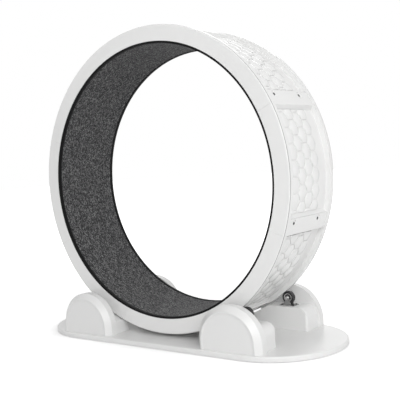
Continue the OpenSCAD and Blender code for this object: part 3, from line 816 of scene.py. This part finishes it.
# %% Tree: screws at given places
screw_tree, given, made = new_tree(
    "set_screws",
    [("Places", "NodeSocketObject"), ("Seed", "NodeSocketInt"), ("Material", "NodeSocketMaterial")],
)
places = put(screw_tree, "GeometryNodeObjectInfo", Object=given.outputs["Places"])
facing = put(screw_tree, "GeometryNodeInputNamedAttribute", {"data_type": "FLOAT_VECTOR"}, Name="facing")
aimed = put(
    screw_tree, "FunctionNodeAlignRotationToVector", {"axis": "Z"}, Vector=facing.outputs["Attribute"]
)
chance = put(screw_tree, "FunctionNodeRandomValue", {"data_type": "FLOAT"}, Seed=given.outputs["Seed"])
# A Random Value node's fourth input is the largest of its plain numbers.
chance.inputs[3].default_value = 2 * math.pi
stopped = put(screw_tree, "FunctionNodeAxisAngleToRotation", Axis=(0, 0, 1), Angle=chance.outputs[1])
turned = put(
    screw_tree, "FunctionNodeRotateRotation", {"rotation_space": "LOCAL"},
    Rotation=aimed.outputs[0], Rotate_By=stopped.outputs[0],
)
driven = put(
    screw_tree, "GeometryNodeInstanceOnPoints", Points=places.outputs["Geometry"],
    Instance=given.outputs["Pattern"], Rotation=turned.outputs[0],
)
end_tree(screw_tree, given, made, driven.outputs[0])
print("tree", screw_tree.name)

# %% One screw, and a set of them
def screw_pattern(name, shank_r, shank_l, head_r, head_h):
    """A pan-head screw along Z, with its head above Z = 0 and a socket in it."""
    key = shank_r * 0.95
    # Each ring is its radius, its height and whether it is six-sided.
    rings = [
        (shank_r * 0.55, -shank_l, False), (shank_r, -shank_l + shank_r * 0.5, False), (shank_r, 0, False),
        (head_r * 0.95, 0, False), (head_r, head_h * 0.12, False), (head_r, head_h * 0.45, False),
        (head_r * 0.95, head_h * 0.7, False), (head_r * 0.84, head_h * 0.9, False),
        (head_r * 0.68, head_h, False), (key * 1.1, head_h, True), (key, head_h * 0.96, True),
        (key, head_h * 0.35, True),
    ]
    sides = 24
    points = []
    for r, z, six in rings:
        for j in range(sides):
            a = 2 * math.pi * j / sides
            reach = r * math.cos(math.pi / 6) / math.cos(a % (math.pi / 3) - math.pi / 6) if six else r
            points.append((reach * math.cos(a), reach * math.sin(a), z))
    mesh = ringed_mesh(name, points, sides)
    mesh.set_sharp_from_angle(angle=math.radians(38))
    return mesh


def set_screws(name, pattern, spots, stands_for, body, seed):
    """Sets a screw at each (place, facing) and keeps them as one mesh."""
    mesh = bpy.data.meshes.new("places")
    mesh.from_pydata([place for place, facing in spots], [], [])
    ways = mesh.attributes.new("facing", "FLOAT_VECTOR", "POINT")
    ways.data.foreach_set("vector", [c for place, facing in spots for c in facing])
    marks = bpy.data.objects.new("places", mesh)
    bpy.context.scene.collection.objects.link(marks)
    run_tree(
        screw_tree, name, pattern, body, "screw_steel", stands_for=(stands_for,),
        Places=marks, Seed=seed, Material=black_steel,
    )
    bpy.data.objects.remove(marks)


print("screw helpers ready")

# %% Screws of the ring's joints
JOINT_TURN, JOINT_SCREW_AT = math.radians(28.53), (-89 * MM, 61 * MM)
JOINT_SHANK_R, JOINT_SHANK_L = 2.5 * MM, 26 * MM
JOINT_HEAD_R, JOINT_HEAD_H = 4.75 * MM, 2.75 * MM
farthest = max(math.hypot(v.co.x, v.co.z - wheel_z) for v in nodes["joint_screws"].data.vertices)
seat_r = math.sqrt(farthest**2 - JOINT_HEAD_R**2) - JOINT_HEAD_H
spots = []
for i in range(SEGMENTS):
    angle = JOINT_TURN + i * 2 * math.pi / SEGMENTS
    out = Vector((math.cos(angle), 0, math.sin(angle)))
    spots += [(seat_r * out + Vector((0, y, wheel_z)), out) for y in JOINT_SCREW_AT]
joint_screw = screw_pattern("joint_screw", JOINT_SHANK_R, JOINT_SHANK_L, JOINT_HEAD_R, JOINT_HEAD_H)
set_screws("joint_screw_heads", joint_screw, spots, "joint_screws", "wheel", seed=3)
print(f"screw seats {seat_r:.5f} m from the axle")

# %% Screws of the forks
SMALL_SHANK_R, FORK_SHANK_L = 2 * MM, 14 * MM
FORK_SCREW_X, FORK_SCREW_Y = 21 * MM, 10 * MM
FORK_HEAD_R, FORK_HEAD_H = 3.8 * MM, 2.2 * MM
SIGNS = [(-1, -1), (1, -1), (-1, 1), (1, 1)]


def four_by_four(x, y, x_off, y_off, z, facing):
    """Four places round each of the four points at x and y, with the way they face."""
    return [
        (Vector((a * x + c * x_off, b * y + d * y_off, z)), facing)
        for a, b in SIGNS for c, d in SIGNS
    ]


tyre_low, tyre_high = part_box("tyre_front_right")
roller_x, roller_y = (tyre_low.x + tyre_high.x) / 2, -(tyre_low.y + tyre_high.y) / 2
fork_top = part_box("fork_screws")[1].z - FORK_HEAD_H
spots = four_by_four(roller_x, roller_y, FORK_SCREW_X, FORK_SCREW_Y, fork_top, Vector((0, 0, 1)))
fork_screw = screw_pattern("fork_screw", SMALL_SHANK_R, FORK_SHANK_L, FORK_HEAD_R, FORK_HEAD_H)
set_screws("fork_screw_heads", fork_screw, spots, "fork_screws", "base", seed=5)
print(f"rollers at {roller_x:.4f}, {roller_y:.4f}")

# %% Screws under the base
GUARD_SCREW_L, GUARD_SCREW_W = 150 * MM, 56 * MM
GUARD_HEAD_R, GUARD_HEAD_H = 4 * MM, 2.4 * MM
under_low, under_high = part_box("guard_screws")
guard_x = under_high.x - GUARD_HEAD_R - GUARD_SCREW_L / 2
guard_y = under_high.y - GUARD_HEAD_R - GUARD_SCREW_W / 2
head_seat = under_low.z + GUARD_HEAD_H
guard_shank_l = under_high.z - under_low.z - GUARD_HEAD_H
spots = four_by_four(guard_x, guard_y, GUARD_SCREW_L / 2, GUARD_SCREW_W / 2, head_seat, Vector((0, 0, -1)))
guard_screw = screw_pattern("guard_screw", SMALL_SHANK_R, guard_shank_l, GUARD_HEAD_R, GUARD_HEAD_H)
set_screws("guard_screw_heads", guard_screw, spots, "guard_screws", "base", seed=7)
print(f"housings screwed at {guard_x:.4f}, {guard_y:.4f}")

# %% [markdown]
# Each ball bearing is closed by a black seal on both sides, sunk below the hub's
# bright ring. Its section is a flat washer with a raised lip at its two edges.

# %% Bearing seals
SEAL_R, SEAL_STEPS = 9 * MM, 64
# Corners of a seal's section in mm: away from SEAL_R, along the axle, and rounding.
SEAL_CORNERS = [
    (-3.5, 6.05, 0.1), (-3.5, 6.8, 0.2), (-2.5, 6.8, 0.2), (-2.3, 6.4, 0.1),
    (0.7, 6.4, 0.1), (0.9, 6.9, 0.2), (1.85, 6.9, 0.2), (1.85, 6.05, 0.1),
]
seal_loop = rounded_loop([(x * MM, y * MM, r * MM) for x, y, r in SEAL_CORNERS], steps=2)
two_seals = [[(p.x, -p.y) for p in seal_loop], [(p.x, p.y) for p in seal_loop[::-1]]]
for name in ("front_left", "front_right", "back_left", "back_right"):
    low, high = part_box(f"tyre_{name}")
    run_tree(
        sweep_tree, f"bearing_seals_{name}", section_mesh("seals", two_seals),
        f"roller_{name}", "roller_tyre",
        Radius=SEAL_R, Steps=SEAL_STEPS, Middle=tuple((low + high) / 2), Material=seal_rubber,
    )

# %% [markdown]
# ## Carpet
# The track is lined with a needled felt carpet: dark grey fibres with paler ones
# mixed in. Its surface is a closed strip bent into a ring. The strip is fine enough,
# about three millimetres to a cell, for the pile's lumps to be real shape, and the
# finer fibres are in the material, which reads a UV map in metres.

# %% Smooth random fields
def smooth_field(rng, rows, columns, size):
    """Random numbers blurred over size cells; the field joins up at its ends."""
    field = np.fft.rfft2(rng.standard_normal((rows, columns)))
    fr = np.fft.fftfreq(rows)[:, None]
    fc = np.fft.rfftfreq(columns)[None, :]
    field *= np.exp(-((math.pi * size) ** 2) * (fr**2 + fc**2))
    smooth = np.fft.irfft2(field, s=(rows, columns))
    return smooth / smooth.std()


ROUND, ACROSS = 900, 88
FUZZ_MM = 0.10
# Each layer of lumps is its height in mm and its size in cells.
LUMP_LAYERS = ((0.16, 1.2), (0.12, 6), (0.10, 22))
rng = np.random.default_rng(11)
lumps = FUZZ_MM * rng.standard_normal((ROUND, ACROSS + 1))
for height_mm, cells in LUMP_LAYERS:
    lumps += height_mm * smooth_field(rng, ROUND, ACROSS + 1, cells)
print("pile lumps from", round(lumps.min(), 2), "to", round(lumps.max(), 2), "mm")

# %% [markdown]
# The strip's points stand in rows, one row for each turn of the ring: first all of the
# pile, then two for the backing. The pile is high in the middle of the strip and sinks
# towards both edges, where the binding holds it down.

# %% Points of the carpet strip
PILE_RISE_MM, DEEPEST_MM, HIGHEST_MM = 0.35, -0.9, 0.6
FLAT_EDGE, CROWN_WIDTH = 3 * MM, 8 * MM
EDGE_LOW, BACK_GAP = 0.1 * MM, 0.15 * MM
turn = (np.arange(ROUND) * 2 * math.pi / ROUND)[:, None]
across = np.linspace(-carpet_half_w, carpet_half_w, ACROSS + 1)


def on_ring(radius, along):
    """Points at each radius and place along the axle, one row for each turn."""
    along = np.broadcast_to(along, radius.shape)
    return np.stack([radius * np.cos(turn), along, radius * np.sin(turn) + wheel_z], axis=-1).reshape(-1, 3)


def pile_points():
    """The pile surface, lumpy in the middle of the strip and low along both edges."""
    from_edge = carpet_half_w - np.abs(across)
    crown = np.clip((from_edge - FLAT_EDGE) / CROWN_WIDTH, 0, 1) ** 0.5
    rise = crown[None, :] * (PILE_RISE_MM + lumps.clip(DEEPEST_MM, HIGHEST_MM)) * MM
    return on_ring(carpet_in_r + EDGE_LOW * (1 - crown)[None, :] - rise, across)


def backing_points():
    """Two points for each turn, on the edges of the backing that lies on the track."""
    return on_ring(np.full((ROUND, 2), track_r - BACK_GAP), (-carpet_half_w, carpet_half_w))


print("strip of", ROUND, "turns by", ACROSS + 1, "points")

# %% Cells of the carpet strip
def pile_quads():
    """Corners of the pile's cells: here and at the next turn, on this line and the next."""
    wide = ACROSS + 1
    i, j = np.meshgrid(np.arange(ROUND), np.arange(ACROSS), indexing="ij")
    k = (i + 1) % ROUND
    corners = [i * wide + j, k * wide + j, k * wide + j + 1, i * wide + j + 1]
    return np.stack(corners, axis=-1).reshape(-1, 4)


def rim_quads():
    """Corners of the backing's cells, then of those of the two edges."""
    wide = ACROSS + 1
    n = np.arange(ROUND)
    m = (n + 1) % ROUND
    back_a, back_b = ROUND * wide + 2 * n, ROUND * wide + 2 * n + 1
    next_a, next_b = ROUND * wide + 2 * m, ROUND * wide + 2 * m + 1
    return np.concatenate([
        np.stack([back_a, back_b, next_b, next_a], axis=-1),
        np.stack([n * wide, back_a, next_a, m * wide], axis=-1),
        np.stack([n * wide + ACROSS, m * wide + ACROSS, next_b, back_b], axis=-1),
    ])


def strip_uv():
    """Metres round and across the strip for every corner; the rim has its turn alone."""
    metres = np.arange(ROUND + 1) * 2 * math.pi * carpet_in_r / ROUND
    i, j = (cells.ravel() for cells in np.meshgrid(np.arange(ROUND), np.arange(ACROSS), indexing="ij"))
    u0, u1, v0, v1 = metres[i], metres[i + 1], across[j], across[j + 1]
    pile_uv = np.stack([u0, v0, u1, v0, u1, v1, u0, v1], axis=-1).reshape(-1, 2)
    rim_uv = np.zeros((4 * 3 * ROUND, 2))
    rim_uv[:, 0] = np.repeat(np.tile(metres[:-1], 3), 4)
    return np.concatenate([pile_uv, rim_uv])


print("pile of", ROUND, "by", ACROSS, "cells")

# %% Carpet mesh
carpet_mesh = bpy.data.meshes.new("carpet_lining")
carpet_points = np.concatenate([pile_points(), backing_points()])
carpet_quads = np.concatenate([pile_quads(), rim_quads()])
carpet_mesh.from_pydata(carpet_points.tolist(), [], carpet_quads.tolist())
uv_map = carpet_mesh.uv_layers.new(name="strip")
uv_map.data.foreach_set("uv", strip_uv().astype(np.float32).ravel())
carpet_mesh.polygons.foreach_set("use_smooth", [quad < ROUND * ACROSS for quad in range(len(carpet_quads))])
carpet = bpy.data.objects.new("carpet_lining", carpet_mesh)
bpy.context.scene.collection.objects.link(carpet)
print("carpet", len(carpet_mesh.polygons), "faces")

# %% [markdown]
# The felt's shade comes from three sizes at once: single flecks of pale fibre, the
# fibres themselves and the tufts. The fibres lie along the strip, so they are drawn out
# that way. Fibres and tufts also raise the bump.

# %% Group: heathered fibre
heather_group, given, made = new_group(
    "heathered_fibre",
    [
        ("Vector", "NodeSocketVector", None),
        ("Tuft size", "NodeSocketFloat", 0.004),
        ("Fibre size", "NodeSocketFloat", 0.0012),
        ("Fleck size", "NodeSocketFloat", 0.004),
        ("Lie", "NodeSocketFloat", 2.0),
    ],
    [("Shade", "NodeSocketFloat"), ("Height", "NodeSocketFloat")],
)
combine = heather_group.nodes.new("ShaderNodeCombineXYZ")
heather_group.links.new(given.outputs["Lie"], combine.inputs["X"])
combine.inputs["Y"].default_value = 1.0
combine.inputs["Z"].default_value = 1.0
stretched = heather_group.nodes.new("ShaderNodeVectorMath")
stretched.operation = "DIVIDE"
heather_group.links.new(given.outputs["Vector"], stretched.inputs[0])
heather_group.links.new(combine.outputs[0], stretched.inputs[1])
tuft_scale = math_node(heather_group, "DIVIDE", 1.0, given.outputs["Tuft size"])
fibre_scale = math_node(heather_group, "DIVIDE", 1.0, given.outputs["Fibre size"])
fleck_scale = math_node(heather_group, "DIVIDE", 1.0, given.outputs["Fleck size"])
tufts = noise_node(heather_group, given.outputs["Vector"], tuft_scale, detail=2.0, roughness=0.6)
fibres = noise_node(heather_group, stretched.outputs[0], fibre_scale, detail=2.0, roughness=0.7)
cells = heather_group.nodes.new("ShaderNodeTexVoronoi")
heather_group.links.new(stretched.outputs[0], cells.inputs["Vector"])
heather_group.links.new(fleck_scale, cells.inputs["Scale"])
flecks = heather_group.nodes.new("ShaderNodeSeparateColor")
heather_group.links.new(cells.outputs["Color"], flecks.inputs[0])
tuft_part = math_node(heather_group, "MULTIPLY", tufts, 0.3)
fibre_part = math_node(heather_group, "MULTIPLY", fibres, 0.3)
soft_part = math_node(heather_group, "ADD", tuft_part, fibre_part)
shade = math_node(heather_group, "MULTIPLY_ADD", flecks.outputs[0], 0.4, soft_part)
pile_height = math_node(heather_group, "MULTIPLY_ADD", tufts, 0.6, fibres)
heather_group.links.new(shade, made.inputs["Shade"])
heather_group.links.new(pile_height, made.inputs["Height"])
print("group", heather_group.name)

# %% Carpet finish
FELT_TONES = [
    (0.30, (0.018, 0.018, 0.019)),
    (0.46, (0.050, 0.050, 0.052)),
    (0.58, (0.108, 0.108, 0.111)),
    (0.70, (0.27, 0.27, 0.27)),
]
felt, tree, shader = new_finish("carpet_felt", (0.07, 0.07, 0.073), 0.95)[:3]
strip_map = tree.nodes.new("ShaderNodeUVMap")
strip_map.uv_map = "strip"
heather = place_group(
    tree, heather_group, strip_map.outputs[0],
    Tuft_size=0.0045, Fibre_size=0.0011, Fleck_size=0.0027, Lie=1.5,
)
tree.links.new(ramp_node(tree, heather.outputs["Shade"], FELT_TONES), shader.inputs["Base Color"])
shader.inputs["Specular IOR Level"].default_value = 0.15
shader.inputs["Sheen Weight"].default_value = 0.12
shader.inputs["Sheen Roughness"].default_value = 0.5
add_bump(tree, shader, heather.outputs["Height"], depth=0.0012, strength=0.8)
carpet_mesh.materials.append(felt)
print("carpet finish", felt.name)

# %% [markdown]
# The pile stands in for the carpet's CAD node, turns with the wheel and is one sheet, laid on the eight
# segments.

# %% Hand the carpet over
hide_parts("track_carpet")
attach(carpet, "wheel")
print("carpet lies on the ring's eight segments")
